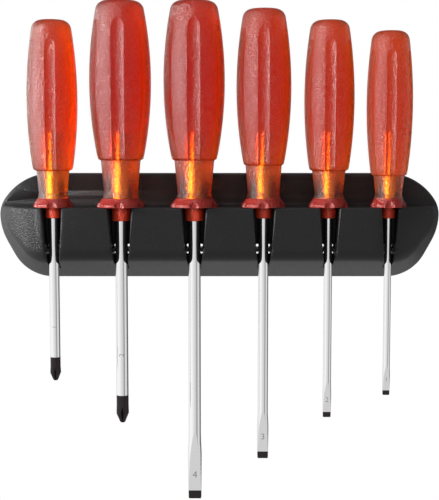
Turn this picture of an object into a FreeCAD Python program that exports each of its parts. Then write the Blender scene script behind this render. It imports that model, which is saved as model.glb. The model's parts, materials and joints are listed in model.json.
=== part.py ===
import FreeCAD, Part

# Screwdriver set in a moulded wall holder.
# X runs along the holder, Y into the wall, Z up; the wall is the plane Y = 0.
# The origin lies on the wall, midway between the two screw holes.

import math
import os
import re

import Sketcher

# Driving dimensions of the holder, in millimetres and degrees
SIZES = {
    "half_width": 111.3,
    "top_height": 8.0,
    "top_half_length": 84.6,
    "top_round": 29.0,
    "nose_round": 14.5,
    "nose_drop": 12.5,
    "flank_round": 29.0,
    "flank_lean": 28.8,
    "foot_round": 22.0,
    "foot_drop": 44.6,
    "depth": 28.3,
    "hull_taper": 22.7,
    "front_half_length": 74.0,
    "front_sweep": 39.0,
    "belly_round": 8.0,
    "ledge_drop": 8.2,
    "ledge_bevel": 0.6,
    "plate_foot": 3.0,
    "plate_top": 2.5,
    "plate_cove": 1.6,
    "wall": 2.4,
    "axis_depth": 19.0,
    "channel_wall": 2.0,
    "channel_clearance": 1.1,
    "slot_narrowing": 1.1,
    "slot_straight": 19.2,
    "slot_drop": 28.4,
    "throat_clearance": 0.3,
    "screw_spacing": 164.4,
    "screw_hole": 4.3,
    "screw_head": 8.2,
    "vent_hole": 1.5,
    "vent_offset": 0.3,
    "vent_pitch": 3.5,
    "finger_drop": 21.1,
    "finger_height": 1.8,
    "finger_width": 1.2,
    "finger_gap": 0.1,
    "finger_reach": 1.2,
    "cap_round": 4.8,
    "shoulder_bevel": 1.3,
    "waist_rise": 7.0,
    "flare_sag": 0.4,
    "lip": 1.4,
    "collar_bevel": 0.9,
    "flute_floor": 4.6,
    "flute_wall": 2.6,
    "flute_runout": 10.5,
    "flute_shift": 4.9,
    "flute_flatness": 1.33,
    "notch_floor": 2.6,
    "notch_depth": 1.2,
    "shank_top": 44.0,
    "wing_length": 7.0,
    "wing_span": 1.6,
    "wing_thickness": 1.2,
    "tip_bevel": 0.3,
    "paddle_taper": 0.2,
    "cross_web": 1.2,
}

# One row for each driver from left to right, with its own set of sizes
COLUMNS = (
    "place", "grip", "handle", "swell", "swell_round", "shoulder", "neck", "waist",
    "flange", "collar", "collar_length", "blade", "reach", "flat", "spread", "tip",
)
DRIVERS = {
    "cross_small": (-81.5, 24.6, 90.5, 52.2, 221.0, 18.0, 15.9, 14.0,
                    19.6, 7.9, 5.4, 5.0, 80.8, 7.0, 5.4, 2.2),
    "cross_medium": (-48.3, 30.0, 99.6, 61.0, 185.0, 23.1, 19.4, 16.5,
                     23.6, 9.2, 6.8, 6.0, 100.7, 8.5, 6.4, 2.4),
    "slotted_4": (-12.3, 29.8, 99.6, 61.0, 185.0, 23.1, 19.5, 16.5,
                  23.2, 9.4, 6.8, 6.0, 139.6, 34.0, 6.8, 1.2),
    "slotted_3": (21.6, 26.7, 95.8, 58.0, 200.0, 20.7, 17.7, 15.6,
                  21.5, 8.0, 5.5, 5.0, 120.3, 24.0, 5.7, 1.0),
    "slotted_2": (53.5, 24.4, 90.4, 52.2, 223.0, 18.0, 16.3, 13.8,
                  19.3, 7.1, 5.5, 4.0, 99.4, 18.0, 4.3, 0.8),
    "slotted_1": (82.9, 22.4, 85.3, 49.8, 243.0, 15.6, 15.0, 13.1,
                  17.4, 6.5, 5.5, 3.5, 88.2, 15.0, 3.8, 0.6),
}
HANDLE_SIDES = 24
FLUTES = 6
CROSS_FLUTES = 4
VENT_SIDES = 8

for number, row in enumerate(DRIVERS.values(), start=1):
    for column, amount in zip(COLUMNS, row):
        SIZES[f"{column}_{number}"] = amount

doc = FreeCAD.newDocument("screwdriver_set")
sheet = doc.addObject("Spreadsheet::Sheet", "sizes")
for line, (alias, amount) in enumerate(SIZES.items(), start=1):
    sheet.set(f"A{line}", alias)
    sheet.set(f"B{line}", str(amount))
    sheet.setAlias(f"B{line}", alias)
doc.recompute()


def formula(text, number=None):
    """Spell out the sheet's name before each size; # stands for the driver's number."""
    text = str(text).replace("#", str(number))
    return re.sub(r"[a-z]\w*", lambda word: f"sizes.{word[0]}" if word[0] in SIZES else word[0], text)


def value(text, number=None):
    """Work a formula out as a plain number."""
    result = sheet.evalExpression(formula(text, number))
    return float(getattr(result, "Value", result))


def bind(thing, number=None, **formulas):
    """Tie properties of an object to the sheet."""
    for name, text in formulas.items():
        thing.setExpression(name, formula(text, number))


def plane_of(body, role):
    return next(item for item in body.Origin.OriginFeatures if item.Role == role)


class Outline:
    """A closed sketch outline whose corners are held by formulas from the sheet."""

    def __init__(self, body, role, name, number=None):
        self.number = number
        self.tally = 0
        if body is None:
            self.sketch = doc.addObject("Sketcher::SketchObject", name)
            return
        self.sketch = body.newObject("Sketcher::SketchObject", name)
        self.sketch.AttachmentSupport = (plane_of(body, role), [""])
        self.sketch.MapMode = "FlatFace"

    def point(self, across, up):
        return FreeCAD.Vector(value(across, self.number), value(up, self.number), 0)

    def name(self, word):
        self.tally += 1
        return f"{word}{self.tally}"

    def hold(self, kind, *places_and_formula):
        """Add one dimension and tie it to its formula."""
        *places, text = places_and_formula
        label = self.name("dim")
        amount = value(text, self.number)
        if kind in ("DistanceX", "DistanceY"):
            if len(places) == 2:
                places = [-1, 1, *places]
            if amount < 0:
                places = places[2:] + places[:2]
                text = f"-({text})"
                amount = -amount
        index = self.sketch.addConstraint(Sketcher.Constraint(kind, *places, amount))
        self.sketch.renameConstraint(index, label)
        self.sketch.setExpression(f"Constraints.{label}", formula(text, self.number))

    def hold_point(self, edge, end, across, up):
        for kind, axis, text in (("DistanceX", -2, across), ("DistanceY", -1, up)):
            if text is None:
                continue
            if text == "0":
                self.sketch.addConstraint(Sketcher.Constraint("PointOnObject", edge, end, axis))
            else:
                self.hold(kind, edge, end, text)

    def line(self, start, end):
        shape = Part.LineSegment(FreeCAD.Vector(*start, 0), FreeCAD.Vector(*end, 0))
        return self.sketch.addGeometry(shape, False)

    def arc(self, start, end, radius, bulge):
        """An arc through two points; bulge is 1 where its middle lies left of the way."""
        first = FreeCAD.Vector(*start, 0)
        last = FreeCAD.Vector(*end, 0)
        chord = last - first
        half = chord.Length / 2
        rise = radius - math.sqrt(max(radius * radius - half * half, 0))
        side = FreeCAD.Vector(-chord.y, chord.x, 0).normalize() * (bulge * rise)
        middle = (first + last) * 0.5 + side
        if bulge > 0:
            first, last = last, first
        return self.sketch.addGeometry(Part.Arc(first, middle, last), False)

    def polygon(self, corners):
        """Straight and curved edges through corners of the form (across, up[, radius, bulge]).

        The radius and bulge shape the edge that leaves the corner.
        """
        points = [self.point(corner[0], corner[1]) for corner in corners]
        edges = []
        for place, corner in enumerate(corners):
            start = points[place]
            end = points[(place + 1) % len(points)]
            if len(corner) > 2:
                radius = value(corner[2], self.number)
                edges.append(self.arc((start.x, start.y), (end.x, end.y), radius, corner[3]))
            else:
                edges.append(self.line((start.x, start.y), (end.x, end.y)))
        ends = [(1, 2) for _ in corners]
        for place, corner in enumerate(corners):
            if len(corner) > 2:
                geometry = self.sketch.Geometry[edges[place]]
                if (geometry.StartPoint - points[place]).Length > 1e-6:
                    ends[place] = (2, 1)
        for place, corner in enumerate(corners):
            following = (place + 1) % len(corners)
            self.sketch.addConstraint(Sketcher.Constraint(
                "Coincident", edges[place], ends[place][1], edges[following], ends[following][0]))
            self.hold_point(edges[place], ends[place][0], corner[0], corner[1])
            if len(corner) > 2:
                self.hold("Radius", edges[place], corner[2])
        return edges

    def circle(self, across, up, radius):
        centre = self.point(across, up)
        shape = Part.Circle(centre, FreeCAD.Vector(0, 0, 1), value(radius, self.number))
        edge = self.sketch.addGeometry(shape, False)
        self.hold_point(edge, 3, across, up)
        self.hold("Radius", edge, radius)
        return edge


def new_body(name, number=None, **place):
    """A body with its own label, set down at a place that follows the sheet."""
    body = doc.addObject("PartDesign::Body", name)
    body.Label = name
    for axis, text in place.items():
        bind(body, number, **{f"Placement.Base.{axis}": text})
    return body


def pad(body, outline, name, length, number=None, midplane=False):
    feature = body.newObject("PartDesign::Pad", name)
    feature.Profile = outline.sketch
    feature.Midplane = midplane
    bind(feature, number, Length=length)
    doc.recompute()
    return feature


def pocket(body, outline, name, length, number=None, midplane=True, reverse=False):
    feature = body.newObject("PartDesign::Pocket", name)
    feature.Profile = outline.sketch
    feature.Midplane = midplane
    feature.Reversed = reverse
    bind(feature, number, Length=length)
    doc.recompute()
    return feature


def around(body, feature, name, count):
    """Repeat a feature in a full circle about the body's upright axis."""
    pattern = body.newObject("PartDesign::PolarPattern", name)
    pattern.Originals = [feature]
    pattern.Axis = (plane_of(body, "Z_Axis"), [""])
    pattern.Angle = 360
    pattern.Occurrences = count
    body.Tip = pattern
    doc.recompute()
    return pattern


def dress(body, kind, name, chosen, **sizes):
    """Round or bevel the edges of the body's last feature that a test picks out."""
    doc.recompute()
    base = body.Tip
    names = [f"Edge{place}" for place, edge in enumerate(base.Shape.Edges, start=1) if chosen(edge)]
    feature = body.newObject(kind, name)
    feature.Base = (base, names)
    bind(feature, **sizes)
    doc.recompute()
    return feature


def circle_meeting(first, first_reach, second, second_reach):
    """The outer point at two given distances from two centres."""
    way = (second[0] - first[0], second[1] - first[1])
    span = math.hypot(*way)
    along = (first_reach**2 - second_reach**2 + span**2) / (2 * span)
    off = math.sqrt(max(first_reach**2 - along**2, 0))
    middle = (first[0] + along * way[0] / span, first[1] + along * way[1] / span)
    return (middle[0] + off * way[1] / span, middle[1] - off * way[0] / span)


def on_ray(centre, through, radius):
    """The point of a circle on the ray from its centre through another point."""
    way = (through[0] - centre[0], through[1] - centre[1])
    span = math.hypot(*way)
    return (centre[0] + radius * way[0] / span, centre[1] + radius * way[1] / span)


def hull_outline(body, name, inset, forward):
    """Right half of the holder's outline at a distance from the wall, drawn past the middle."""
    outline = Outline(body, "XZ_Plane", f"{body.Name}_{name}")
    sketch = outline.sketch
    bind(sketch, **{"AttachmentOffset.Base.z": forward})
    overlap = "-front_half_length / 4"
    top = f"top_height - ({inset})"
    foot = f"-foot_drop + ({inset})"
    top_round = f"top_round - ({inset})"
    nose_round = f"nose_round - ({inset})"
    flank_round = f"flank_round - ({inset})"
    foot_round = f"foot_round - ({inset})"
    upper = (value("top_half_length"), value("top_height - top_round"))
    flank = (value("half_width - flank_round"), value("-nose_drop"))
    nose = circle_meeting(
        upper, value("top_round - nose_round"), flank, value("flank_round - nose_round"))
    lean = math.radians(value("flank_lean"))
    first = on_ray(upper, nose, value(top_round))
    second = on_ray(flank, nose, value(flank_round))
    third = (flank[0] + value(flank_round) * math.cos(lean), flank[1] - value(flank_round) * math.sin(lean))
    foot_centre_height = value("foot_round - foot_drop")
    fourth_height = foot_centre_height - value(foot_round) * math.sin(lean)
    fourth = (third[0] - math.tan(lean) * (third[1] - fourth_height), fourth_height)
    foot_middle = fourth[0] - value(foot_round) * math.cos(lean)
    left = value(overlap)

    def curve(centre, radius, start, end):
        first_angle = math.atan2(start[1] - centre[1], start[0] - centre[0])
        last_angle = math.atan2(end[1] - centre[1], end[0] - centre[0])
        circle = Part.Circle(FreeCAD.Vector(*centre, 0), FreeCAD.Vector(0, 0, 1), radius)
        return sketch.addGeometry(Part.ArcOfCircle(circle, last_angle, first_angle), False)

    top_line = outline.line((left, value(top)), (upper[0], value(top)))
    upper_arc = curve(upper, value(top_round), (upper[0], value(top)), first)
    nose_arc = curve(nose, value(nose_round), first, second)
    flank_arc = curve(flank, value(flank_round), second, third)
    flank_line = outline.line(third, fourth)
    foot_arc = curve((foot_middle, foot_centre_height), value(foot_round), fourth, (foot_middle, value(foot)))
    foot_line = outline.line((foot_middle, value(foot)), (left, value(foot)))
    closing = outline.line((left, value(foot)), (left, value(top)))

    joints = (
        (top_line, 2, upper_arc, 2), (upper_arc, 1, nose_arc, 2), (nose_arc, 1, flank_arc, 2),
        (flank_arc, 1, flank_line, 1), (flank_line, 2, foot_arc, 2), (foot_arc, 1, foot_line, 1),
    )
    for joint in joints:
        sketch.addConstraint(Sketcher.Constraint("Tangent", *joint))
    sketch.addConstraint(Sketcher.Constraint("Coincident", foot_line, 2, closing, 1))
    sketch.addConstraint(Sketcher.Constraint("Coincident", closing, 2, top_line, 1))
    sketch.addConstraint(Sketcher.Constraint("Horizontal", top_line))
    sketch.addConstraint(Sketcher.Constraint("Horizontal", foot_line))
    sketch.addConstraint(Sketcher.Constraint("Vertical", closing))
    outline.hold("DistanceX", closing, 1, overlap)
    outline.hold("DistanceY", top_line, 1, top)
    outline.hold("DistanceY", foot_line, 2, foot)
    outline.hold("DistanceX", upper_arc, 3, "top_half_length")
    outline.hold("Radius", upper_arc, top_round)
    outline.hold("Radius", nose_arc, nose_round)
    outline.hold("DistanceX", flank_arc, 3, "half_width - flank_round")
    outline.hold("DistanceY", flank_arc, 3, "-nose_drop")
    outline.hold("Radius", flank_arc, flank_round)
    outline.hold("Angle", flank_line, "-(90 + flank_lean)")
    outline.hold("Radius", foot_arc, foot_round)
    return outline


def holder_form(name, inset):
    """The holder's solid form, or the hollow inside it when inset is a wall."""
    body = new_body(name)
    drawn_in = f"{inset} + (depth - {inset}) * tan(hull_taper)"
    half = body.newObject("PartDesign::AdditiveLoft", f"{name}_half_hull")
    half.Profile = hull_outline(body, "at_wall", inset, "0").sketch
    half.Sections = [hull_outline(body, "at_front", drawn_in, f"depth - {inset}").sketch]
    half.Ruled = True
    doc.recompute()
    mirror = body.newObject("PartDesign::Mirrored", f"{name}_hull")
    mirror.Originals = [half]
    mirror.MirrorPlane = (plane_of(body, "YZ_Plane"), [""])
    body.Tip = mirror
    doc.recompute()

    for side, sign, bulge in (("left", "-", 1), ("right", "", -1)):
        ends = Outline(body, "XY_Plane", f"{name}_{side}_end")
        front = f"-(depth - {inset})"
        ends.polygon([
            (f"{sign}front_half_length", front, f"front_sweep - {inset}", bulge),
            (f"{sign}(front_half_length + front_sweep - {inset})", "front_sweep - depth"),
            (f"{sign}(half_width + depth)", "front_sweep - depth"),
            (f"{sign}(half_width + depth)", f"{front} - depth"),
            (f"{sign}front_half_length", f"{front} - depth"),
        ])
        pocket(body, ends, f"{name}_{side}_end_cut", "2 * (foot_drop + top_height)")

    ceiling = f"-ledge_drop - {inset}"
    ledge = Outline(body, "YZ_Plane", f"{name}_ledge")
    if value(inset) == 0:
        ledge.polygon([
            ("-2 * depth", ceiling),
            ("-plate_foot - plate_cove", ceiling, "plate_cove", -1),
            ("-plate_foot", "plate_cove - ledge_drop"),
            ("-plate_top", "top_height + wall"),
            ("-2 * depth", "top_height + wall"),
        ])
    else:
        ledge.polygon([
            ("-2 * depth", ceiling),
            ("depth", ceiling),
            ("depth", "top_height + wall"),
            ("-2 * depth", "top_height + wall"),
        ])
    pocket(body, ledge, f"{name}_ledge_cut", "3 * half_width")

    return body


def slot_body(name, number, widening):
    """A slot seen from the front: open at the ledge, narrowing to the blade's throat."""
    body = new_body(name, number, x="place_#", y="-axis_depth", z="-ledge_drop")
    mouth = f"(collar_#/2 + channel_clearance + {widening})"
    waist = f"({mouth} - slot_narrowing)"
    throat = f"(blade_#/2 + throat_clearance + {widening})"
    bottom = "ledge_drop - foot_drop - wall"
    outline = Outline(body, "XZ_Plane", f"{name}_front", number)
    bind(outline.sketch, number, **{"AttachmentOffset.Base.z": f"-{mouth}"})
    outline.polygon([
        (f"-{mouth}", "wall"),
        (f"-{waist}", "-slot_straight"),
        (f"-{throat}", "-slot_drop"),
        (f"-{throat}", bottom),
        (throat, bottom),
        (throat, "-slot_drop"),
        (waist, "-slot_straight"),
        (mouth, "wall"),
    ])
    pad(body, outline, f"{name}_run", f"depth - axis_depth + {mouth} + wall", number)
    return body


def slot(name, number):
    """The space cut out for one driver, with its guide fingers left standing."""
    body = slot_body(name, number, "0")
    back = "(collar_#/2 + channel_clearance)"
    for side, sign in (("left", "-"), ("right", "")):
        finger = Outline(body, "XZ_Plane", f"{name}_finger_{side}", number)
        bind(finger.sketch, number, **{"AttachmentOffset.Base.z": f"-{back}"})
        near = f"{sign}(blade_#/2 + finger_gap)"
        far = f"{sign}(blade_#/2 + finger_gap + finger_width)"
        low = "-finger_drop - finger_height/2"
        high = "-finger_drop + finger_height/2"
        finger.polygon([(near, low), (far, low), (far, high), (near, high)])
        pocket(body, finger, f"{name}_finger_cut_{side}", f"{back} + finger_reach", number,
               midplane=False, reverse=True)
    return body


def vents(number):
    """Four small holes through the back of a channel, two on each side of the blade."""
    holes = []
    for across in ("-(blade_#/2 + vent_offset)", "(blade_#/2 + vent_offset)"):
        for up in ("-vent_pitch/2", "+vent_pitch/2"):
            hole = doc.addObject("Part::Prism", f"vent_{number}_{len(holes) + 1}")
            hole.Polygon = VENT_SIDES
            hole.Placement.Rotation = FreeCAD.Rotation(FreeCAD.Vector(1, 0, 0), 90)
            bind(hole, number, Circumradius="vent_hole/2", Height="3 * channel_wall", **{
                "Placement.Base.x": f"place_# + {across}",
                "Placement.Base.y": "collar_#/2 + channel_clearance + 2 * channel_wall - axis_depth",
                "Placement.Base.z": f"-ledge_drop - finger_drop {up}"})
            holes.append(hole)
    return holes


def boolean(kind, name, **links):
    result = doc.addObject(kind, name)
    for link, thing in links.items():
        setattr(result, link, thing)
    doc.recompute()
    return result


def screw_cutter(side, sign):
    """A countersunk screw hole through the plate, as a straight bore and a cone."""
    bore = doc.addObject("Part::Cylinder", f"screw_bore_{side}")
    sink = doc.addObject("Part::Cone", f"screw_sink_{side}")
    bind(bore, Radius="screw_hole/2", Height="2 * plate_foot")
    bind(sink, Radius1="screw_hole/2", Radius2="screw_head/2", Height="(screw_head - screw_hole)/2")
    for item, start in ((bore, "plate_foot/2"), (sink, "(screw_head - screw_hole)/2 - plate_foot")):
        item.Placement.Rotation = FreeCAD.Rotation(FreeCAD.Vector(1, 0, 0), 90)
        bind(item, **{"Placement.Base.x": f"{sign}screw_spacing/2", "Placement.Base.y": start})
    return [bore, sink]


def holder():
    """The moulded holder: a hollow shell with six channels and a screwed back plate."""
    outer = holder_form("outer_form", "0")

    def lower_front(edge):
        box = edge.BoundBox
        return box.YMax < -4 and box.ZMax < -value("ledge_drop") - 1 and box.XLength > 0.01

    def ledge_rim(edge):
        box = edge.BoundBox
        return box.ZLength < 0.01 and abs(box.ZMax + value("ledge_drop")) < 0.01 and box.YMax < -value("depth")/2

    dress(outer, "PartDesign::Fillet", "outer_form_belly", lower_front, Radius="belly_round")
    dress(outer, "PartDesign::Chamfer", "outer_form_ledge_rim", ledge_rim, Size="ledge_bevel")
    inner = holder_form("inner_form", "wall")
    numbers = range(1, len(DRIVERS) + 1)
    channels = [slot_body(f"channel_{number}", number, "channel_wall") for number in numbers]
    slots = [slot(f"slot_{number}", number) for number in numbers]
    holes = [hole for number in numbers for hole in vents(number)]
    screws = screw_cutter("left", "-") + screw_cutter("right", "")
    all_channels = boolean("Part::MultiFuse", "channels", Shapes=channels)
    hollow = boolean("Part::Cut", "hollow", Base=inner, Tool=all_channels)
    shell = boolean("Part::Cut", "shell", Base=outer, Tool=hollow)
    spaces = boolean("Part::MultiFuse", "spaces", Shapes=slots + holes + screws)
    return boolean("Part::Cut", "holder", Base=shell, Tool=spaces)


def wing_outline(body, name, number):
    """The flattened wings that lock the blade's upper end in the handle."""
    outline = Outline(body, "XZ_Plane", name, number)
    outline.polygon([
        ("-blade_#/2 - wing_span", "shank_top - wing_length"),
        ("blade_#/2 + wing_span", "shank_top - wing_length"),
        ("blade_#/2 + wing_span", "shank_top"),
        ("-blade_#/2 - wing_span", "shank_top"),
    ])
    return outline


def driver_body(name, number):
    return new_body(name, number, x="place_#", y="-axis_depth", z="-ledge_drop")


def flat_loft(name, sections):
    """A solid through level sections, all of its faces plain planes."""
    loft = doc.addObject("Part::Loft", name)
    loft.Sections = sections
    loft.Solid = True
    loft.Ruled = True
    loft.Linearize = True
    return loft


def lathed(name, levels, number):
    """A turned form with many flat sides, through rings of the given radii and heights."""
    rings = []
    for place, (radius, height) in enumerate(levels, start=1):
        ring = doc.addObject("Part::RegularPolygon", f"{name}_ring_{place}")
        ring.Polygon = HANDLE_SIDES
        bind(ring, number, **{"Circumradius": radius, "Placement.Base.z": height})
        rings.append(ring)
    return flat_loft(name, rings)


def upright_loft(name, levels, corners, number):
    """A form through level outlines; corners gives the outline for one level's size."""
    sections = []
    for place, (size, height) in enumerate(levels, start=1):
        section = Outline(None, "", f"{name}_level_{place}", number)
        bind(section.sketch, number, **{"Placement.Base.z": height})
        section.polygon(corners(size))
        sections.append(section.sketch)
    return flat_loft(name, sections)


def turned_copies(cutter, count, start):
    """The cutter repeated in a full circle about the upright axis."""
    copies = []
    for place in range(count):
        copy = boolean("Part::Compound", f"{cutter.Name}_{place + 1}", Links=[cutter])
        angle = start + place * 360 / count
        copy.Placement.Rotation = FreeCAD.Rotation(FreeCAD.Vector(0, 0, 1), angle)
        copies.append(copy)
    return copies


def based_on(body, form):
    """Give a body a form to start from."""
    body.BaseFeature = form
    doc.recompute()


def handle(name, number):
    """A moulded handle: a fluted barrel on a flared, notched flange with a collar."""
    body = driver_body(f"handle_{name}", number)
    centre = "(grip_#/2 - swell_round_#)"
    rise = "(handle_# - cap_round - swell_#)"
    reach = "(swell_round_# - cap_round)"
    cap = f"({centre} + sqrt({reach}^2 - {rise}^2))"
    bevel = "(shoulder_# + shoulder_bevel)"
    crown = f"(swell_# + {rise} * swell_round_# / {reach})"

    def barrel_point(height):
        return (f"{centre} + sqrt(swell_round_#^2 - ({height} - swell_#)^2)", height)

    barrel = lathed(f"{body.Name}_barrel", [
        ("neck_#/2", "shoulder_#"),
        barrel_point(bevel),
        barrel_point(f"({bevel} + ({crown} - {bevel}) / 3)"),
        barrel_point(f"({bevel} + ({crown} - {bevel}) * 2 / 3)"),
        barrel_point(crown),
        (f"{cap} + cap_round * cos(35)", "handle_# - cap_round + cap_round * sin(35)"),
        (f"{cap} + cap_round * cos(63)", "handle_# - cap_round + cap_round * sin(63)"),
        (cap, "handle_#"),
    ], number)

    end = "(handle_# - flute_runout - swell_#)"
    floor_round = "(swell_round_# * flute_flatness)"
    shift = (f"(sqrt({floor_round}^2 - ({end} - flute_shift)^2) - {centre}"
             f" - sqrt(swell_round_#^2 - {end}^2))")
    foot = "(shoulder_# - shoulder_bevel)"
    top = "(handle_# - flute_runout / 2)"
    levels = []
    for share in ("0", "1/3", "2/3", "1"):
        height = f"({foot} + ({top} - {foot}) * {share})"
        levels.append((f"(sqrt({floor_round}^2 - ({height} - swell_# - flute_shift)^2) - {shift})", height))

    def flute_corners(floor):
        return [
            ("-flute_floor/2", f"-{floor}"),
            ("flute_floor/2", f"-{floor}"),
            ("flute_floor/2 + flute_wall", f"-{floor} - flute_wall"),
            ("-flute_floor/2 - flute_wall", f"-{floor} - flute_wall"),
        ]

    flute = upright_loft(f"{body.Name}_flute", levels, flute_corners, number)
    flutes = boolean("Part::Compound", f"{flute.Name}s", Links=turned_copies(flute, FLUTES, 0))
    fluted = boolean("Part::Cut", f"{body.Name}_fluted", Base=barrel, Tool=flutes)

    neck = lathed(f"{body.Name}_neck", [
        ("flange_#/2", "0"),
        ("flange_#/2", "lip"),
        ("(flange_# + waist_#)/4 - flare_sag", "(lip + waist_rise)/2 - flare_sag"),
        ("waist_#/2", "waist_rise"),
        ("neck_#/2", "shoulder_#"),
    ], number)
    collar = lathed(f"{body.Name}_collar", [
        ("collar_#/2 - collar_bevel", "-collar_length_#"),
        ("collar_#/2", "collar_bevel - collar_length_#"),
        ("collar_#/2", "0"),
    ], number)
    based_on(body, boolean("Part::MultiFuse", f"{body.Name}_moulding", Shapes=[fluted, neck, collar]))
    notch = Outline(body, "XY_Plane", f"{body.Name}_notch_outline", number)
    notch.polygon([
        ("-notch_floor/2", "notch_depth - flange_#/2"),
        ("notch_floor/2", "notch_depth - flange_#/2"),
        ("notch_floor/2 + 2 * notch_depth", "-flange_#/2 - notch_depth"),
        ("-notch_floor/2 - 2 * notch_depth", "-flange_#/2 - notch_depth"),
    ])
    cut = pocket(body, notch, f"{body.Name}_notch", "2 * waist_rise", number)
    around(body, cut, f"{body.Name}_notches", FLUTES)

    bore = Outline(body, "XY_Plane", f"{body.Name}_bore_outline", number)
    bore.circle("0", "0", "blade_#/2")
    pocket(body, bore, f"{body.Name}_bore", "2 * shank_top", number)
    wings = wing_outline(body, f"{body.Name}_wing_outline", number)
    pocket(body, wings, f"{body.Name}_wing_pocket", "wing_thickness", number)
    return body


def blade(name, number):
    """A round steel blade with locking wings above and its working tip below."""
    body = driver_body(f"blade_{name}", number)
    end = "(-collar_length_# - reach_#)"
    start = f"({end} + tip_bevel)"
    if name.startswith("cross"):
        start = f"({end} + flat_#)"
        cross_tip(body, end, number)
    shaft = Outline(body, "XY_Plane", f"{body.Name}_shaft_outline", number)
    bind(shaft.sketch, number, **{"AttachmentOffset.Base.z": start})
    shaft.circle("0", "0", "blade_#/2")
    pad(body, shaft, f"{body.Name}_shaft", f"shank_top - {start}", number)
    wings = wing_outline(body, f"{body.Name}_wing_outline", number)
    pad(body, wings, f"{body.Name}_wings", "wing_thickness", number, midplane=True)
    if name.startswith("slotted"):
        slotted_tip(body, end, number)
    return body


def cross_tip(body, end, number):
    """A swelled cone with four flutes that leave a cross of webs."""
    cone = lathed(f"{body.Name}_cone", [
        ("tip_#/2 - tip_bevel", end),
        ("tip_#/2", f"{end} + tip_bevel"),
        ("spread_#/2", f"{end} + 0.55 * flat_#"),
        ("blade_#/2", f"{end} + flat_#"),
    ], number)

    def flute_corners(corner):
        return [(corner, corner), ("spread_#", corner), ("spread_#", "spread_#"), (corner, "spread_#")]

    levels = [("cross_web/2", f"{end} - tip_bevel"), ("0.4 * spread_#", f"{end} + 1.3 * flat_#")]
    flute = upright_loft(f"{body.Name}_flute", levels, flute_corners, number)
    flutes = boolean("Part::Compound", f"{flute.Name}s", Links=turned_copies(flute, CROSS_FLUTES, 45))
    based_on(body, boolean("Part::Cut", f"{body.Name}_tip", Base=cone, Tool=flutes))


def slotted_tip(body, end, number):
    """A forged paddle, a little wider than the shaft, ground to a wedge on both faces."""
    paddle = Outline(body, "XZ_Plane", f"{body.Name}_paddle_outline", number)
    right = [
        ("spread_#/2 - paddle_taper - tip_bevel", end),
        ("spread_#/2 - paddle_taper", f"{end} + tip_bevel"),
        ("spread_#/2", f"{end} + 0.62 * flat_#"),
        ("0.45 * blade_#", f"{end} + flat_#"),
    ]
    paddle.polygon(right + [(f"-({across})", up) for across, up in reversed(right)])
    pad(body, paddle, f"{body.Name}_paddle", "blade_#/2", number, midplane=True)
    for side, sign in (("front", "-"), ("back", "")):
        wedge = Outline(body, "YZ_Plane", f"{body.Name}_wedge_{side}", number)
        wedge.polygon([
            (f"{sign}tip_#/2", end),
            (f"{sign}blade_#/2", f"{end} + flat_#"),
            (f"{sign}blade_#", f"{end} + flat_#"),
            (f"{sign}blade_#", end),
        ])
        pocket(body, wedge, f"{body.Name}_wedge_cut_{side}", "2 * spread_#", number)


pieces = [holder()]
for number, name in enumerate(DRIVERS, start=1):
    pieces.append(handle(name, number))
    pieces.append(blade(name, number))

for item in doc.Objects:
    if any(word in item.State for word in ("Invalid", "Error")):
        raise RuntimeError(f"{item.Name}: {item.State}")
os.makedirs("parts", exist_ok=True)
for piece in pieces:
    shape = piece.Shape
    if shape.isNull() or not shape.isValid() or len(shape.Solids) != 1:
        raise RuntimeError(f"{piece.Name} is not one valid solid")
    shape.exportStep(f"parts/{piece.Label}.step")
    box = shape.BoundBox
    print(piece.Label, round(shape.Volume), [round(v, 2) for v in (
        box.XMin, box.XMax, box.YMin, box.YMax, box.ZMin, box.ZMax)])
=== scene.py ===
import json
import math

import bmesh
import bpy
from mathutils import Matrix, Vector

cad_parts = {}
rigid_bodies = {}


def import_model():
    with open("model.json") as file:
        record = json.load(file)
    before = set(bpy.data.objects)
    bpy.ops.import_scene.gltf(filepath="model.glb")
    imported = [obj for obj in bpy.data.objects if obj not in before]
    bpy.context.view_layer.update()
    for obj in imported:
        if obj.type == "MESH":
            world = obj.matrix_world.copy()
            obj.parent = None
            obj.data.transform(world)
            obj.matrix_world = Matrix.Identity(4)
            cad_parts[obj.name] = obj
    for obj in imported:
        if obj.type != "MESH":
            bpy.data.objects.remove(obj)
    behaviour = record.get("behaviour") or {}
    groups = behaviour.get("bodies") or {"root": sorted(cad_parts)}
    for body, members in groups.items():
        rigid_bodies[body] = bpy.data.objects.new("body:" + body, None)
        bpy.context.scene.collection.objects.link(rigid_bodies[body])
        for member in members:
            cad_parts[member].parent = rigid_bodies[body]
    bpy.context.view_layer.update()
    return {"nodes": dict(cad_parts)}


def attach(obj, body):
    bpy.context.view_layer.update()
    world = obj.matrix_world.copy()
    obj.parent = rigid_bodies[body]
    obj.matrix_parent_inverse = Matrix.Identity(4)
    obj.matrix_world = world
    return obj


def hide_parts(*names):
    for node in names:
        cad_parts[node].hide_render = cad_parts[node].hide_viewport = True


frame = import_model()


# The wall holder: one black moulding with a hollow front shell, a flat ledge and a thin
# back plate. Its skin has a fine leather grain from the mould, and every edge is slightly
# broken. Each driver stands in a channel that is open to the front.
def shader(name, **sockets):
    """A new material with its main shader's sockets set, and the tools to add nodes."""
    material = bpy.data.materials.new(name)
    material.use_nodes = True
    nodes = material.node_tree.nodes
    main = nodes["Principled BSDF"]
    for socket, amount in sockets.items():
        main.inputs[socket.replace("_", " ")].default_value = amount
    return material, nodes, material.node_tree.links, main


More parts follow.
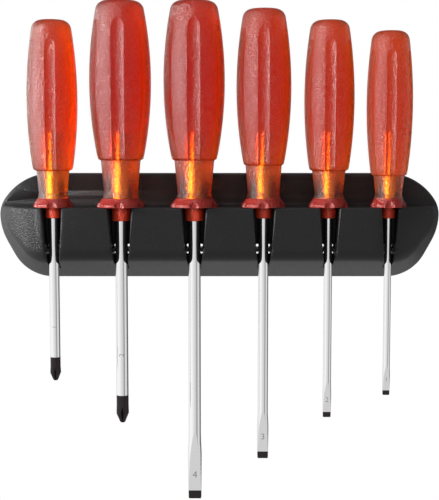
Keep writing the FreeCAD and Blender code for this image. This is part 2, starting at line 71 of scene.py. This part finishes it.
def grain(nodes, links, main, size, depth, strength, onto="Normal"):
    """Bump of a moulded grain whose cells are about `size` metres across."""
    place = nodes.new("ShaderNodeTexCoord")
    cells = nodes.new("ShaderNodeTexNoise")
    cells.inputs["Scale"].default_value = 1 / size
    cells.inputs["Detail"].default_value = 3
    bump = nodes.new("ShaderNodeBump")
    bump.inputs["Strength"].default_value = strength
    bump.inputs["Distance"].default_value = depth
    links.new(place.outputs["Object"], cells.inputs["Vector"])
    links.new(cells.outputs["Fac"], bump.inputs["Height"])
    links.new(bump.outputs["Normal"], main.inputs[onto])
    return place, cells


def shade_by_angle(mesh, degrees):
    """Smooth shading, broken where two faces meet more sharply than the angle."""
    mesh.shade_smooth()
    mesh.set_sharp_from_angle(angle=math.radians(degrees))


def finished(name, mesh, carries, material):
    """Put a piece's finished mesh on the root body in place of its plain solid."""
    if not mesh.materials:
        mesh.materials.append(material)
    piece = bpy.data.objects.new(name, mesh)
    bpy.context.scene.collection.objects.link(piece)
    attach(piece, "root")
    if carries:
        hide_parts(carries)


black, nodes, links, main = shader(
    "black_grained_plastic", Roughness=0.34, Base_Color=(0.0180, 0.0175, 0.0187, 1))
main.inputs["Specular IOR Level"].default_value = 0.22
place, _ = grain(nodes, links, main, size=0.0006, depth=0.0004, strength=0.8)
tone = nodes.new("ShaderNodeTexNoise")
tone.inputs["Scale"].default_value = 30
spread = nodes.new("ShaderNodeMapRange")
spread.inputs["To Min"].default_value = 0.31
spread.inputs["To Max"].default_value = 0.38
links.new(place.outputs["Object"], tone.inputs["Vector"])
links.new(tone.outputs["Fac"], spread.inputs["Value"])
links.new(spread.outputs["Result"], main.inputs["Roughness"])

moulding = frame["nodes"]["holder"].data.copy()
moulding.materials.clear()
form = bmesh.new()
form.from_mesh(moulding)
bmesh.ops.remove_doubles(form, verts=form.verts, dist=2e-6)
bmesh.ops.dissolve_limit(
    form, angle_limit=math.radians(0.6), verts=form.verts, edges=form.edges,
    use_dissolve_boundaries=False)
# the upright edges of the front wall, beside the slots, are rounded over
SLOT_RIM = 0.0008
FRONT_WALL = -0.022
RIM_FOOT, RIM_TOP = -0.0375, -0.0079
SHARP = 0.6
SHORTEST_RISE = 0.0005
slot_edges = [
    edge for edge in form.edges
    if len(edge.link_faces) == 2 and edge.calc_face_angle(0) > SHARP
    and all(corner.co.y < FRONT_WALL and RIM_FOOT < corner.co.z < RIM_TOP for corner in edge.verts)
    and abs(edge.verts[0].co.z - edge.verts[1].co.z) > SHORTEST_RISE]
bmesh.ops.bevel(form, geom=slot_edges, offset=SLOT_RIM, segments=3, affect="EDGES", profile=0.5)
form.to_mesh(moulding)
form.free()
shade_by_angle(moulding, 28)
finished("holder_moulding", moulding, "holder", black)


# The handles: one clear red plastic moulding each, round in the cap and the neck, with six
# flutes pressed into the barrel and a flared flange that rests on the ledge. The steel
# shank inside shows as an orange streak. The skin is satin, not polished.
FLUTES = 6
LATHE_SIDES = 216

# shares of the grip's diameter
FLUTE_RADIUS = 0.174
FLUTE_DEPTH = 0.046

# millimetres; the flutes end below the cap's top, and the ledge and the axes are places
# in the shared frame
FLUTE_END = 9.6
NOTCH_DEPTH = 1.3
FLARE_TOP = 7.0
FOOT_TOP = 4.4
PARTING = 0.02
LEDGE = -8.2
AXES = -19.0

# place, turn in degrees, grip, handle, swell, swell round, shoulder, neck, waist, flange,
# collar, collar length
HANDLES = {
    "cross_small": (-81.5, 3.0, 24.6, 90.5, 52.2, 221.0, 18.0, 15.9, 14.0, 19.6, 7.9, 5.4),
    "cross_medium": (-48.3, -0.7, 30.0, 99.6, 61.0, 185.0, 23.1, 19.4, 16.5, 23.6, 9.2, 6.8),
    "slotted_4": (-12.3, 0.0, 29.8, 99.6, 61.0, 185.0, 23.1, 19.5, 16.5, 23.2, 9.4, 6.8),
    "slotted_3": (21.6, -2.0, 26.7, 95.8, 58.0, 200.0, 20.7, 17.7, 15.6, 21.5, 8.0, 5.5),
    "slotted_2": (53.5, -2.4, 24.4, 90.4, 52.2, 223.0, 18.0, 16.3, 13.8, 19.3, 7.1, 5.5),
    "slotted_1": (82.9, -3.3, 22.4, 85.3, 49.8, 243.0, 15.6, 15.0, 13.1, 17.4, 6.5, 5.5),
}


def arc_points(centre, radius, start, end, count):
    """Points along the outer side of a circle between two heights."""
    points = []
    for step in range(count + 1):
        height = start + (end - start) * step / count
        reach = math.sqrt(max(radius * radius - (height - centre[1]) ** 2, 0))
        points.append((centre[0] + reach, height))
    return points


def handle_profile(
        grip, top, swell, swell_round, shoulder, neck, waist, flange, collar, collar_length):
    """Radius and height from the collar's foot up to the middle of the cap, in millimetres."""
    cap = 4.8
    middle = grip / 2 - swell_round
    rise = top - cap - swell
    cap_centre = middle + math.sqrt((swell_round - cap) ** 2 - rise**2)
    ratio = swell_round / (swell_round - cap)
    meet = (middle + (cap_centre - middle) * ratio, swell + rise * ratio)
    points = [(0.0, -collar_length), (collar / 2 - 0.9, -collar_length)]
    points += [(collar / 2 - 0.26, -collar_length + 0.26), (collar / 2, -collar_length + 0.9)]
    points += [(collar / 2, -0.4), (collar / 2 + 0.15, 0.0)]
    points += [(flange / 2 - 0.3, 0.0), (flange / 2 - 0.08, 0.08)]
    points += [(flange / 2, 0.3), (flange / 2, 1.1), (flange / 2 - 0.08, 1.35)]
    flare = 9.0
    flare_foot = 1.4
    chord = (waist / 2 - flange / 2, FLARE_TOP - flare_foot)
    span = math.hypot(*chord)
    lift = math.sqrt(flare**2 - span * span / 4)
    centre = ((waist + flange) / 4 + chord[1] / span * lift,
              (FLARE_TOP + flare_foot) / 2 - chord[0] / span * lift)
    begin = math.atan2(flare_foot - centre[1], flange / 2 - centre[0])
    end = math.atan2(FLARE_TOP - centre[1], waist / 2 - centre[0])
    begin, end = (angle % (2 * math.pi) for angle in (begin, end))
    for step in range(1, 13):
        angle = begin + (end - begin) * step / 12
        points.append((centre[0] + flare * math.cos(angle), centre[1] + flare * math.sin(angle)))
    rise = shoulder - FLARE_TOP - 0.4
    for step in range(1, 13):
        points.append((waist / 2 + (neck - waist) / 2 * step / 12, FLARE_TOP + rise * step / 12))
    bevel = shoulder + 1.3
    outer = middle + math.sqrt(swell_round**2 - (bevel - swell) ** 2)
    inner = neck / 2 + 0.25
    points += [(inner, shoulder - 0.1)]
    for step in range(0, 7):
        along = step / 6
        points.append((inner + (outer - inner) * (0.15 + 0.85 * math.sin(along * math.pi / 2)),
                       shoulder + (bevel + 0.5 - shoulder) * (1 - math.cos(along * math.pi / 2))))
    points += arc_points((middle, swell), swell_round, bevel + 1.0, meet[1], 84)
    start_angle = math.atan2(meet[1] - (top - cap), meet[0] - cap_centre)
    for step in range(1, 15):
        angle = start_angle + (math.pi / 2 - start_angle) * step / 14
        points.append((cap_centre + cap * math.cos(angle), top - cap + cap * math.sin(angle)))
    points += [(cap_centre * share, top) for share in (0.8, 0.5, 0.2)]
    points.append((0.0, top))
    return points


def lathe(name, points, sides):
    """A closed surface of revolution about Z from points in millimetres."""
    body = bmesh.new()
    rings = []
    for radius, height in points:
        if radius == 0:
            rings.append([body.verts.new((0, 0, height / 1000))])
        else:
            turns = [2 * math.pi * side / sides for side in range(sides)]
            rings.append([
                body.verts.new((
                    radius * math.cos(turn) / 1000, radius * math.sin(turn) / 1000, height / 1000))
                for turn in turns])
    for low, high in zip(rings, rings[1:]):
        for side in range(sides):
            after = (side + 1) % sides
            if len(low) == 1:
                body.faces.new((low[0], high[after], high[side]))
            elif len(high) == 1:
                body.faces.new((low[side], low[after], high[0]))
            else:
                body.faces.new((low[side], low[after], high[after], high[side]))
    mesh = bpy.data.meshes.new(name)
    body.to_mesh(mesh)
    body.free()
    return mesh


class Term:
    """A number carried by a tree's nodes, so that a rule reads as plain arithmetic."""

    def __init__(self, tree, socket):
        self.tree = tree
        self.socket = socket

    def join(self, operation, *others):
        node = self.tree.nodes.new("ShaderNodeMath")
        node.operation = operation
        for place, term in enumerate((self, *others)):
            if isinstance(term, Term):
                self.tree.links.new(term.socket, node.inputs[place])
            else:
                node.inputs[place].default_value = term
        return Term(self.tree, node.outputs[0])

    def __add__(self, other):
        return self.join("ADD", other)

    def __sub__(self, other):
        return self.join("SUBTRACT", other)

    def __mul__(self, other):
        return self.join("MULTIPLY", other)

    def __truediv__(self, other):
        return self.join("DIVIDE", other)


def flute_tree():
    """Press round flutes into a plain lathed barrel and notches into its flange."""
    tree = bpy.data.node_groups.new("pressed_flutes", "GeometryNodeTree")
    tree.interface.new_socket("Lathed handle", in_out="INPUT", socket_type="NodeSocketGeometry")
    for label in ("Flutes", "Turn", "Flute radius", "Flute depth", "Flute top", "Flute runout",
                  "Shoulder height", "Notch radius", "Notch depth", "Notch top", "Flange radius"):
        tree.interface.new_socket(label, in_out="INPUT", socket_type="NodeSocketFloat")
    tree.interface.new_socket("Plastic", in_out="INPUT", socket_type="NodeSocketMaterial")
    tree.interface.new_socket("Handle", in_out="OUTPUT", socket_type="NodeSocketGeometry")
    new, link = tree.nodes.new, tree.links.new
    given = new("NodeGroupInput")
    term = {socket.name: Term(tree, socket) for socket in given.outputs if socket.name}
    where = new("GeometryNodeInputPosition")
    parts = new("ShaderNodeSeparateXYZ")
    link(where.outputs[0], parts.inputs[0])
    x, y, z = (Term(tree, socket) for socket in parts.outputs)
    radius = (x * x + y * y).join("SQRT").join("MAXIMUM", 1e-6)

    # the cutter's radius and the distance of its middle from the axis at this height
    on_flange = z.join("LESS_THAN", term["Notch top"])
    on_barrel = z.join("GREATER_THAN", term["Shoulder height"])
    spent = (z - (term["Flute top"] - term["Flute runout"])) / term["Flute runout"]
    spent = spent.join("MAXIMUM", 0.0).join("MINIMUM", 1.0)
    depth = term["Flute depth"] * (spent * spent * -1.0 + 1.0).join("SQRT")
    cutter = term["Flute radius"] * on_barrel + term["Notch radius"] * on_flange
    cutter = cutter.join("MAXIMUM", 0.001)
    notch_floor = term["Flange radius"] - term["Notch depth"]
    floor = (radius - depth) * on_barrel + notch_floor * on_flange
    uncut = (on_flange + on_barrel).join("LESS_THAN", 0.5)
    uncut = uncut + z.join("LESS_THAN", -0.00001)
    centre = floor + cutter + uncut
    cosine = (radius * radius + centre * centre - cutter * cutter) / (radius * centre * 2.0)
    rim = cosine.join("MINIMUM", 1.0).join("ARCCOSINE").join("MAXIMUM", 0.05)

    # slide each column of points so that one of them runs along the rim
    pitch = Term(tree, new("ShaderNodeValue").outputs[0])
    pitch.socket.default_value = 2 * math.pi
    pitch = pitch / term["Flutes"]
    turn = y.join("ARCTAN2", x) + math.pi / 2
    place = (turn / pitch + 0.5).join("FLOOR")
    off = turn / pitch - place
    share = off.join("ABSOLUTE") * 2.0
    inner = (share * 2.0).join("MINIMUM", 1.0)
    outer = (share * 2.0 - 1.0).join("MAXIMUM", 0.0)
    slid = inner * rim + outer * (pitch / 2.0 - rim)
    across = centre * slid.join("SINE")
    room = (cutter * cutter - across * across).join("MAXIMUM", 0.0).join("SQRT")
    pressed = centre * slid.join("COSINE") - room
    within = share.join("LESS_THAN", 0.499)
    cut = radius + (pressed.join("MINIMUM", radius) - radius) * within
    angle = slid * off.join("SIGN") + place * pitch - math.pi / 2 + term["Turn"]
    moved = new("ShaderNodeCombineXYZ")
    for socket, part in enumerate((cut * angle.join("COSINE"), cut * angle.join("SINE"), z)):
        link(part.socket, moved.inputs[socket])
    press = new("GeometryNodeSetPosition")
    link(given.outputs["Lathed handle"], press.inputs["Geometry"])
    link(moved.outputs[0], press.inputs["Position"])
    real = new("GeometryNodeRealizeInstances")
    link(press.outputs[0], real.inputs[0])
    coat = new("GeometryNodeSetMaterial")
    link(real.outputs[0], coat.inputs["Geometry"])
    link(given.outputs["Plastic"], coat.inputs["Material"])
    result = new("NodeGroupOutput")
    link(coat.outputs[0], result.inputs["Handle"])
    return tree


def grown(name, mesh, tree, **inputs):
    """Run a mesh through a tree and return the plain mesh that comes out."""
    carrier = bpy.data.objects.new(name, mesh)
    bpy.context.scene.collection.objects.link(carrier)
    modifier = carrier.modifiers.new("tree", "NODES")
    modifier.node_group = tree
    for item in tree.interface.items_tree:
        if item.in_out == "INPUT" and item.name.replace(" ", "_") in inputs:
            modifier[item.identifier] = inputs[item.name.replace(" ", "_")]
    bpy.context.view_layer.update()
    ready = carrier.evaluated_get(bpy.context.evaluated_depsgraph_get())
    plain = bpy.data.meshes.new_from_object(ready)
    carrier.modifiers.remove(modifier)
    bpy.data.objects.remove(carrier)
    return plain


# the grip is clear: light loses its green and blue on the way through, and the coat's
# grain breaks the lights up into flecks
red, nodes, links, main = shader("clear_red_plastic", Roughness=0.32, IOR=1.49)
main.inputs["Transmission Weight"].default_value = 1.0
grain(nodes, links, main, size=0.0010, depth=0.0006, strength=1.0)
_, cells = grain(nodes, links, main, size=0.0011, depth=0.0010, strength=1.0, onto="Coat Normal")
speckle = nodes.new("ShaderNodeMapRange")
speckle.inputs["From Min"].default_value = 0.40
speckle.inputs["From Max"].default_value = 0.60
speckle.inputs["To Min"].default_value = 0.2
speckle.inputs["To Max"].default_value = 1.0
links.new(cells.outputs["Fac"], speckle.inputs["Value"])
links.new(speckle.outputs["Result"], main.inputs["Coat Weight"])
flecks = nodes.new("ShaderNodeMix")
flecks.data_type = "RGBA"
flecks.inputs["A"].default_value = (0.74, 0.58, 0.38, 1)
flecks.inputs["B"].default_value = (0.93, 0.82, 0.62, 1)
links.new(speckle.outputs["Result"], flecks.inputs["Factor"])
links.new(flecks.outputs["Result"], main.inputs["Base Color"])
main.inputs["Coat Roughness"].default_value = 0.22
main.inputs["Specular Tint"].default_value = (0.25, 0.25, 0.25, 1)
depth = nodes.new("ShaderNodeVolumeAbsorption")
depth.inputs["Color"].default_value = (0.962, 0.74, 0.04, 1)
depth.inputs["Density"].default_value = 620
links.new(depth.outputs["Volume"], nodes["Material Output"].inputs["Volume"])

# the foot is denser; its colour is painted light, set by height: the collar is painted a bright red
# that stands in for light shining through it, and the flange just above it a dark red that holds
# back the strong lamp on it
dense, nodes, links, main = shader("dense_red_plastic", Roughness=0.30, IOR=1.49)
main.inputs["Specular IOR Level"].default_value = 0.3
main.inputs["Transmission Weight"].default_value = 0.35
place, _ = grain(nodes, links, main, size=0.0012, depth=0.0006, strength=1.0)
height = nodes.new("ShaderNodeSeparateXYZ")
painted_glow = nodes.new("ShaderNodeMapRange")
painted_glow.inputs["From Min"].default_value = -0.0105
painted_glow.inputs["From Max"].default_value = -0.0075
colour = nodes.new("ShaderNodeMix")
colour.data_type = "RGBA"
# painted light: bright red for the collar below, dark red for the flange above
colour.inputs["A"].default_value = (1.0, 0.085, 0.035, 1)
colour.inputs["B"].default_value = (0.26, 0.014, 0.009, 1)
links.new(place.outputs["Object"], height.inputs["Vector"])
links.new(height.outputs["Z"], painted_glow.inputs["Value"])
links.new(painted_glow.outputs["Result"], colour.inputs["Factor"])
links.new(colour.outputs["Result"], main.inputs["Base Color"])

press_flutes = flute_tree()
for name, (place, turn, *sizes) in HANDLES.items():
    grip, top, swell, swell_round, shoulder, neck, waist, flange, collar, collar_length = sizes
    profile = handle_profile(*sizes)
    joined = bmesh.new()
    meeting = waist / 2 + 0.5
    foot_points = [spot for spot in profile if spot[1] < FOOT_TOP]
    foot_points += [(meeting, FOOT_TOP), (0.0, FOOT_TOP)]
    grip_points = [(0.0, FOOT_TOP + PARTING), (meeting, FOOT_TOP + PARTING)]
    grip_points += [spot for spot in profile if spot[1] > FOOT_TOP + 0.1]
    for part, points, plastic in (("foot", foot_points, dense), ("grip", grip_points, red)):
        fluted = grown(
            f"{part}_{name}", lathe(f"lathed_{part}_{name}", points, LATHE_SIDES), press_flutes,
            Flutes=float(FLUTES), Turn=math.radians(turn),
            Flute_radius=FLUTE_RADIUS * grip / 1000, Flute_depth=FLUTE_DEPTH * grip / 1000,
            Flute_top=(top - FLUTE_END) / 1000, Flute_runout=0.0055,
            Shoulder_height=(shoulder - 0.05) / 1000,
            Notch_radius=0.0032, Notch_depth=NOTCH_DEPTH / 1000,
            Notch_top=(FLARE_TOP + 0.2) / 1000, Flange_radius=flange / 2000, Plastic=plastic)
        start = len(joined.faces)
        joined.from_mesh(fluted)
        joined.faces.ensure_lookup_table()
        for face in joined.faces[start:]:
            face.material_index = 0 if plastic is red else 1
    moulded = bpy.data.meshes.new(f"moulded_{name}")
    joined.to_mesh(moulded)
    joined.free()
    moulded.materials.append(red)
    moulded.materials.append(dense)
    moulded.transform(Matrix.Translation((place / 1000, AXES / 1000, LEDGE / 1000)))
    shade_by_angle(moulded, 20)
    finished(f"grip_{name}", moulded, f"handle_{name}", red)


# The blades: round alloy steel bars, chromed, whose upper ends run on inside the handles.
# Two end in a ground cross tip and four in a forged, ground flat. The last millimetres are
# left dark, with no chrome.

# place, collar length, blade, reach, flat, spread, tip, dark end
BLADES = {
    "cross_small": (-81.5, 5.4, 5.0, 80.8, 7.0, 5.4, 2.2, 11.8),
    "cross_medium": (-48.3, 6.8, 6.0, 100.7, 8.5, 6.4, 2.4, 13.9),
    "slotted_4": (-12.3, 6.8, 6.0, 139.6, 34.0, 6.8, 1.2, 4.2),
    "slotted_3": (21.6, 5.5, 5.0, 120.3, 24.0, 5.7, 1.0, 3.5),
    "slotted_2": (53.5, 5.5, 4.0, 99.4, 18.0, 4.3, 0.8, 2.7),
    "slotted_1": (82.9, 5.5, 3.5, 88.2, 15.0, 3.8, 0.6, 2.4),
}


PLATING_EDGE = 0.00008
SHANK_TOP = 36.5
BLADE_SIDES = 96

# shares of the ground length at which a tip is widest
WIDEST_CROSS = 0.55
WIDEST_FLAT = 0.62


def steel(name, dark_below):
    """Bright chrome that ends in a dark bare tip under a given height."""
    material, nodes, links, main = shader(f"chrome_{name}", Metallic=1.0)
    place = nodes.new("ShaderNodeTexCoord")
    parts = nodes.new("ShaderNodeSeparateXYZ")
    links.new(place.outputs["Object"], parts.inputs[0])
    edge = nodes.new("ShaderNodeMapRange")
    edge.inputs["From Min"].default_value = dark_below - PLATING_EDGE
    edge.inputs["From Max"].default_value = dark_below + PLATING_EDGE
    links.new(parts.outputs["Z"], edge.inputs["Value"])
    colour = nodes.new("ShaderNodeMix")
    colour.data_type = "RGBA"
    colour.inputs["A"].default_value = (0.045, 0.038, 0.040, 1)
    colour.inputs["B"].default_value = (0.92, 0.92, 0.93, 1)
    links.new(edge.outputs["Result"], colour.inputs["Factor"])
    links.new(colour.outputs["Result"], main.inputs["Base Color"])
    rough = nodes.new("ShaderNodeMapRange")
    rough.inputs["To Min"].default_value = 0.42
    rough.inputs["To Max"].default_value = 0.11
    links.new(edge.outputs["Result"], rough.inputs["Value"])
    links.new(rough.outputs["Result"], main.inputs["Roughness"])
    return material


def section_radius(angle, reach, web):
    """Radius of a cross tip at an angle from the front, where flutes leave webs between them."""
    nearest = min(abs(math.cos(angle + math.pi / 4)), abs(math.sin(angle + math.pi / 4)))
    return min(reach, web / max(nearest, 1e-6))


def blade_mesh(name, collar_length, blade, reach, flat, spread, tip):
    """The blade ring by ring from its tip up to its hidden end, in the handle's own frame."""
    end = -collar_length - reach
    heights = [end + flat * 1.35 * step / 72 for step in range(73)]
    heights += [heights[-1] + (SHANK_TOP - heights[-1]) * step / 8 for step in range(1, 9)]
    body = bmesh.new()
    rings = []
    for height in heights:
        above = height - end
        ring = []
        for side in range(BLADE_SIDES):
            angle = 2 * math.pi * side / BLADE_SIDES
            if name.startswith("cross"):
                swell = WIDEST_CROSS * flat
                if above < swell:
                    radius = tip / 2 + (spread - tip) / 2 * above / swell
                    radius -= 0.3 * max(0, 1 - above / 0.5) ** 2
                elif above < flat:
                    radius = spread / 2 + (blade - spread) / 2 * (above - swell) / (flat - swell)
                else:
                    radius = blade / 2
                web = 0.6 + (0.4 * spread - 0.6) * above / (1.3 * flat)
                radius = section_radius(angle, radius, web)
                ring.append((radius * math.cos(angle), radius * math.sin(angle)))
            else:
                widest = WIDEST_FLAT * flat
                if above < widest:
                    width = (spread - 0.4) / 2 + 0.2 * above / widest
                    width -= max(0, 0.3 - above)
                else:
                    along = min(1, (above - widest) / (flat - widest))
                    along = along * along * (3 - 2 * along)
                    width = spread / 2 + (blade - spread) / 2 * along
                thick = tip / 2 + (blade - tip) / 2 * above / flat
                across = width * math.cos(angle)
                deep = blade / 2 * math.sin(angle)
                ring.append((across, max(-thick, min(thick, deep))))
        rings.append([body.verts.new((a / 1000, b / 1000, height / 1000)) for a, b in ring])
    for low, high in zip(rings, rings[1:]):
        for side in range(BLADE_SIDES):
            after = (side + 1) % BLADE_SIDES
            body.faces.new((low[side], low[after], high[after], high[side]))
    body.faces.new(list(reversed(rings[0])))
    body.faces.new(rings[-1])
    mesh = bpy.data.meshes.new(f"bar_{name}")
    body.to_mesh(mesh)
    body.free()
    return mesh


for name, (place, collar_length, blade, reach, flat, spread, tip, dark) in BLADES.items():
    bar = blade_mesh(name, collar_length, blade, reach, flat, spread, tip)
    bar.transform(Matrix.Translation((place / 1000, AXES / 1000, LEDGE / 1000)))
    shade_by_angle(bar, 24)
    foot = (LEDGE - collar_length - reach) / 1000
    finished(f"bar_{name}", bar, f"blade_{name}", steel(name, foot + dark / 1000))


# The size marks: the plain figures 4, 3, 2 and 1, cut shallowly into the front of each
# flat, just above its dark end. The cut line is dull and grey against the chrome. The
# cross blades carry a plain 1 and 2 that read upward and follow the round of the shaft.
mark, nodes, links, main = shader(
    "engraved_line", Metallic=0.6, Roughness=0.6, Base_Color=(0.35, 0.32, 0.29, 1))
grain(nodes, links, main, size=0.0002, depth=0.00002, strength=0.2)

# figure, its place above the tip, its height
FLAT_MARKS = {
    "slotted_4": ("4", 12.3, 3.7),
    "slotted_3": ("3", 11.1, 3.2),
    "slotted_2": ("2", 8.9, 2.6),
    "slotted_1": ("1", 8.0, 2.4),
}
ROUND_MARKS = {
    "cross_small": ("1", 27.0, 2.2),
    "cross_medium": ("2", 34.3, 2.6),
}
PROUD = 0.012
FONT_SIZE_TO_FIGURE = 1.38
THINNED = 0.00004
HALF_THICKNESS = 0.00001


def figure_mesh(figure, tall):
    """A plain figure as a thin mesh that stands upright in XY."""
    letter = bpy.data.curves.new(f"figure_{figure}", "FONT")
    letter.body = figure
    letter.align_x = "CENTER"
    letter.align_y = "CENTER"
    letter.size = tall * FONT_SIZE_TO_FIGURE / 1000
    letter.offset = -THINNED
    letter.extrude = HALF_THICKNESS
    carrier = bpy.data.objects.new(f"figure_{figure}", letter)
    bpy.context.scene.collection.objects.link(carrier)
    bpy.context.view_layer.update()
    ready = carrier.evaluated_get(bpy.context.evaluated_depsgraph_get())
    cut = bpy.data.meshes.new_from_object(ready)
    bpy.data.objects.remove(carrier)
    cut.materials.clear()
    return cut


for name, (figure, up, tall) in FLAT_MARKS.items():
    place, collar_length, blade, reach, flat, spread, tip, dark = BLADES[name]
    cut = figure_mesh(figure, tall)
    slope = math.atan2((blade - tip) / 2, flat)
    thick = tip / 2 + (blade - tip) / 2 * up / flat
    height = LEDGE - collar_length - reach + up
    cut.transform(
        Matrix.Translation((place / 1000, (AXES - thick - PROUD) / 1000, height / 1000))
        @ Matrix.Rotation(math.radians(90) + slope, 4, "X"))
    finished(f"mark_{figure}", cut, None, mark)

# a figure on a round shaft is first sliced upright, so that it can follow the round
SLICE = 0.0002
for name, (figure, up, tall) in ROUND_MARKS.items():
    place, collar_length, blade, reach = BLADES[name][:4]
    cut = figure_mesh(figure, tall)
    cut.transform(Matrix.Rotation(math.radians(90), 4, "Z"))
    form = bmesh.new()
    form.from_mesh(cut)
    for step in range(-8, 9):
        bmesh.ops.bisect_plane(
            form, geom=form.verts[:] + form.edges[:] + form.faces[:],
            plane_co=(step * SLICE, 0, 0), plane_no=(1, 0, 0))
    height = LEDGE - collar_length - reach + up
    for corner in form.verts:
        turn = corner.co.x / (blade / 2000)
        out = blade / 2000 + PROUD / 1000 + corner.co.z
        corner.co = (place / 1000 + out * math.sin(turn), AXES / 1000 - out * math.cos(turn),
                     height / 1000 + corner.co.y)
    form.to_mesh(cut)
    form.free()
    finished(f"mark_cross_{figure}", cut, None, mark)


# The studio: a large light from the left and two weak ones from behind for the handles, a
# small one from the side for the moulding's left end and rims, one from above, and a light
# surround that also shows in the metal and through the plastic.
def soft_light(name, place, target, size, power, height=None):
    """A rectangular lamp that faces a target, square unless its height is given."""
    lamp = bpy.data.lights.new(name, "AREA")
    lamp.shape = "RECTANGLE"
    lamp.size = size
    lamp.size_y = height or size
    lamp.energy = power
    light = bpy.data.objects.new(name, lamp)
    bpy.context.scene.collection.objects.link(light)
    light.location = place
    light.rotation_euler = (Vector(target) - Vector(place)).to_track_quat("-Z", "Y").to_euler()
    return light


def pieces_named(start):
    """A collection of the pieces whose names start alike, for a lamp that lights only them."""
    chosen_pieces = bpy.data.collections.new(f"lit_{start}")
    for piece in bpy.context.scene.objects:
        if piece.name.startswith(start):
            chosen_pieces.objects.link(piece)
    return chosen_pieces


grips = pieces_named("grip_")
for lamp in (
        soft_light("key", (-1.0, -0.46, 0.24), (0, 0, 0.03), 0.9, 38.0, 0.5),
        soft_light("behind_left", (-0.75, 0.5, 0.1), (0, 0, 0.05), 0.9, 1.7, 0.7),
        soft_light("behind_right", (0.75, 0.5, 0.1), (0, 0, 0.05), 0.5, 0.6, 0.7)):
    lamp.light_linking.receiver_collection = grips
soft_light("side", (-1.0, -0.46, 0.5), (0, 0, 0), 0.6, 0.9)
rim_light = soft_light("rims", (-1.0, -0.17, 0.24), (0, 0, -0.03), 0.2, 17.0)
rim_light.light_linking.receiver_collection = pieces_named("holder_moulding")
soft_light("top", (0.0, -0.42, 1.0), (0, 0, 0.08), 0.26, 3.4, 0.14)

world = bpy.data.worlds.new("white_surround")
bpy.context.scene.world = world
world.use_nodes = True
nodes, links = world.node_tree.nodes, world.node_tree.links


def sky(colour=None):
    """One plain sky at strength 1."""
    light = nodes.new("ShaderNodeBackground")
    if colour:
        light.inputs["Color"].default_value = colour
    return light


def chosen(share, first, second):
    """The second light where the share is 1, the first where it is 0."""
    node = nodes.new("ShaderNodeMixShader")
    links.new(share, node.inputs["Fac"])
    links.new(first.outputs[0], node.inputs[1])
    links.new(second.outputs[0], node.inputs[2])
    return node


# what the metal mirrors: light screens with dark gaps between them, under a dark ceiling
# and over a light table, by the bearing in degrees to the right of the camera
SCREENS = ((-180, 0.9), (-172, 0.22), (-156, 0.22), (-146, 0.9), (-90, 1.0), (-60, 1.0), (-35, 0.90),
           (-11, 0.76), (11, 0.68), (29, 0.54), (38, 0.30), (50, 0.30), (62, 0.80), (95, 0.70),
           (114, 0.10), (160, 0.14), (180, 0.9))
way = nodes.new("ShaderNodeTexCoord")
parts = nodes.new("ShaderNodeSeparateXYZ")
links.new(way.outputs["Generated"], parts.inputs[0])
front = nodes.new("ShaderNodeMath")
front.operation = "MULTIPLY"
front.inputs[1].default_value = -1
links.new(parts.outputs["Y"], front.inputs[0])
bearing = nodes.new("ShaderNodeMath")
bearing.operation = "ARCTAN2"
links.new(parts.outputs["X"], bearing.inputs[0])
links.new(front.outputs[0], bearing.inputs[1])
aside = nodes.new("ShaderNodeMath")
aside.operation = "ABSOLUTE"
links.new(bearing.outputs[0], aside.inputs[0])
around = nodes.new("ShaderNodeMapRange")
around.inputs["From Min"].default_value = -math.pi
around.inputs["From Max"].default_value = math.pi
links.new(bearing.outputs[0], around.inputs["Value"])
screens = nodes.new("ShaderNodeValToRGB")
ramp = screens.color_ramp
for place, (degrees, level) in enumerate(SCREENS):
    spot = (degrees + 180) / 360
    stop = ramp.elements[place] if place < 2 else ramp.elements.new(spot)
    stop.position = spot
    stop.color = (level, level, level, 1)
links.new(around.outputs["Result"], screens.inputs["Fac"])
mirrored = sky()
links.new(screens.outputs["Color"], mirrored.inputs["Color"])
table = nodes.new("ShaderNodeMapRange")
table.inputs["From Min"].default_value = -0.25
table.inputs["From Max"].default_value = -0.5
links.new(parts.outputs["Z"], table.inputs["Value"])
ceiling = nodes.new("ShaderNodeMapRange")
ceiling.inputs["From Min"].default_value = 0.22
ceiling.inputs["From Max"].default_value = 0.5
links.new(parts.outputs["Z"], ceiling.inputs["Value"])
walls = chosen(ceiling.outputs["Result"], mirrored, sky((0.12, 0.12, 0.12, 1)))
reflected = chosen(table.outputs["Result"], walls, sky((0.64, 0.64, 0.64, 1)))

# each kind of ray gets its own surround: white for the camera, a plain grey for the light
# on the surfaces, the screens for mirrored rays, and white beyond both sides for the rays
# that pass through the clear plastic
path = nodes.new("ShaderNodeLightPath")
white = sky((1, 1, 1, 1))
plain_light = nodes["Background"]
plain_light.inputs["Color"].default_value = (0.5, 0.5, 0.5, 1)
beyond = nodes.new("ShaderNodeMapRange")
beyond.inputs["From Min"].default_value = 0.55
beyond.inputs["From Max"].default_value = 0.8
links.new(aside.outputs[0], beyond.inputs["Value"])
through = chosen(beyond.outputs["Result"], reflected, white)
shiny = chosen(path.outputs["Is Glossy Ray"], plain_light, reflected)
lit = chosen(path.outputs["Is Transmission Ray"], shiny, through)
seen = chosen(path.outputs["Is Camera Ray"], lit, white)
links.new(seen.outputs[0], nodes["World Output"].inputs["Surface"])

bpy.context.scene.view_settings.view_transform = "Standard"

# The camera stands in front of the holder, a little above its middle, and looks slightly
# down. Its focal length is 1157 pixels of a picture that is 500 pixels tall.
target = Vector((0, -0.019, -0.0294))
pitch = math.radians(5.3)
DISTANCE = 0.570
lens = bpy.data.cameras.new("front_camera")
lens.sensor_fit = "VERTICAL"
lens.sensor_height = 24
lens.lens = lens.sensor_height * 1157 / 500
lens.clip_start = 0.01
camera = bpy.data.objects.new("front_camera", lens)
bpy.context.scene.collection.objects.link(camera)
camera.location = target + DISTANCE * Vector((0, -math.cos(pitch), math.sin(pitch)))
camera.rotation_euler = (math.pi / 2 - pitch, 0, 0)
bpy.context.scene.camera = camera

bpy.context.view_layer.update()
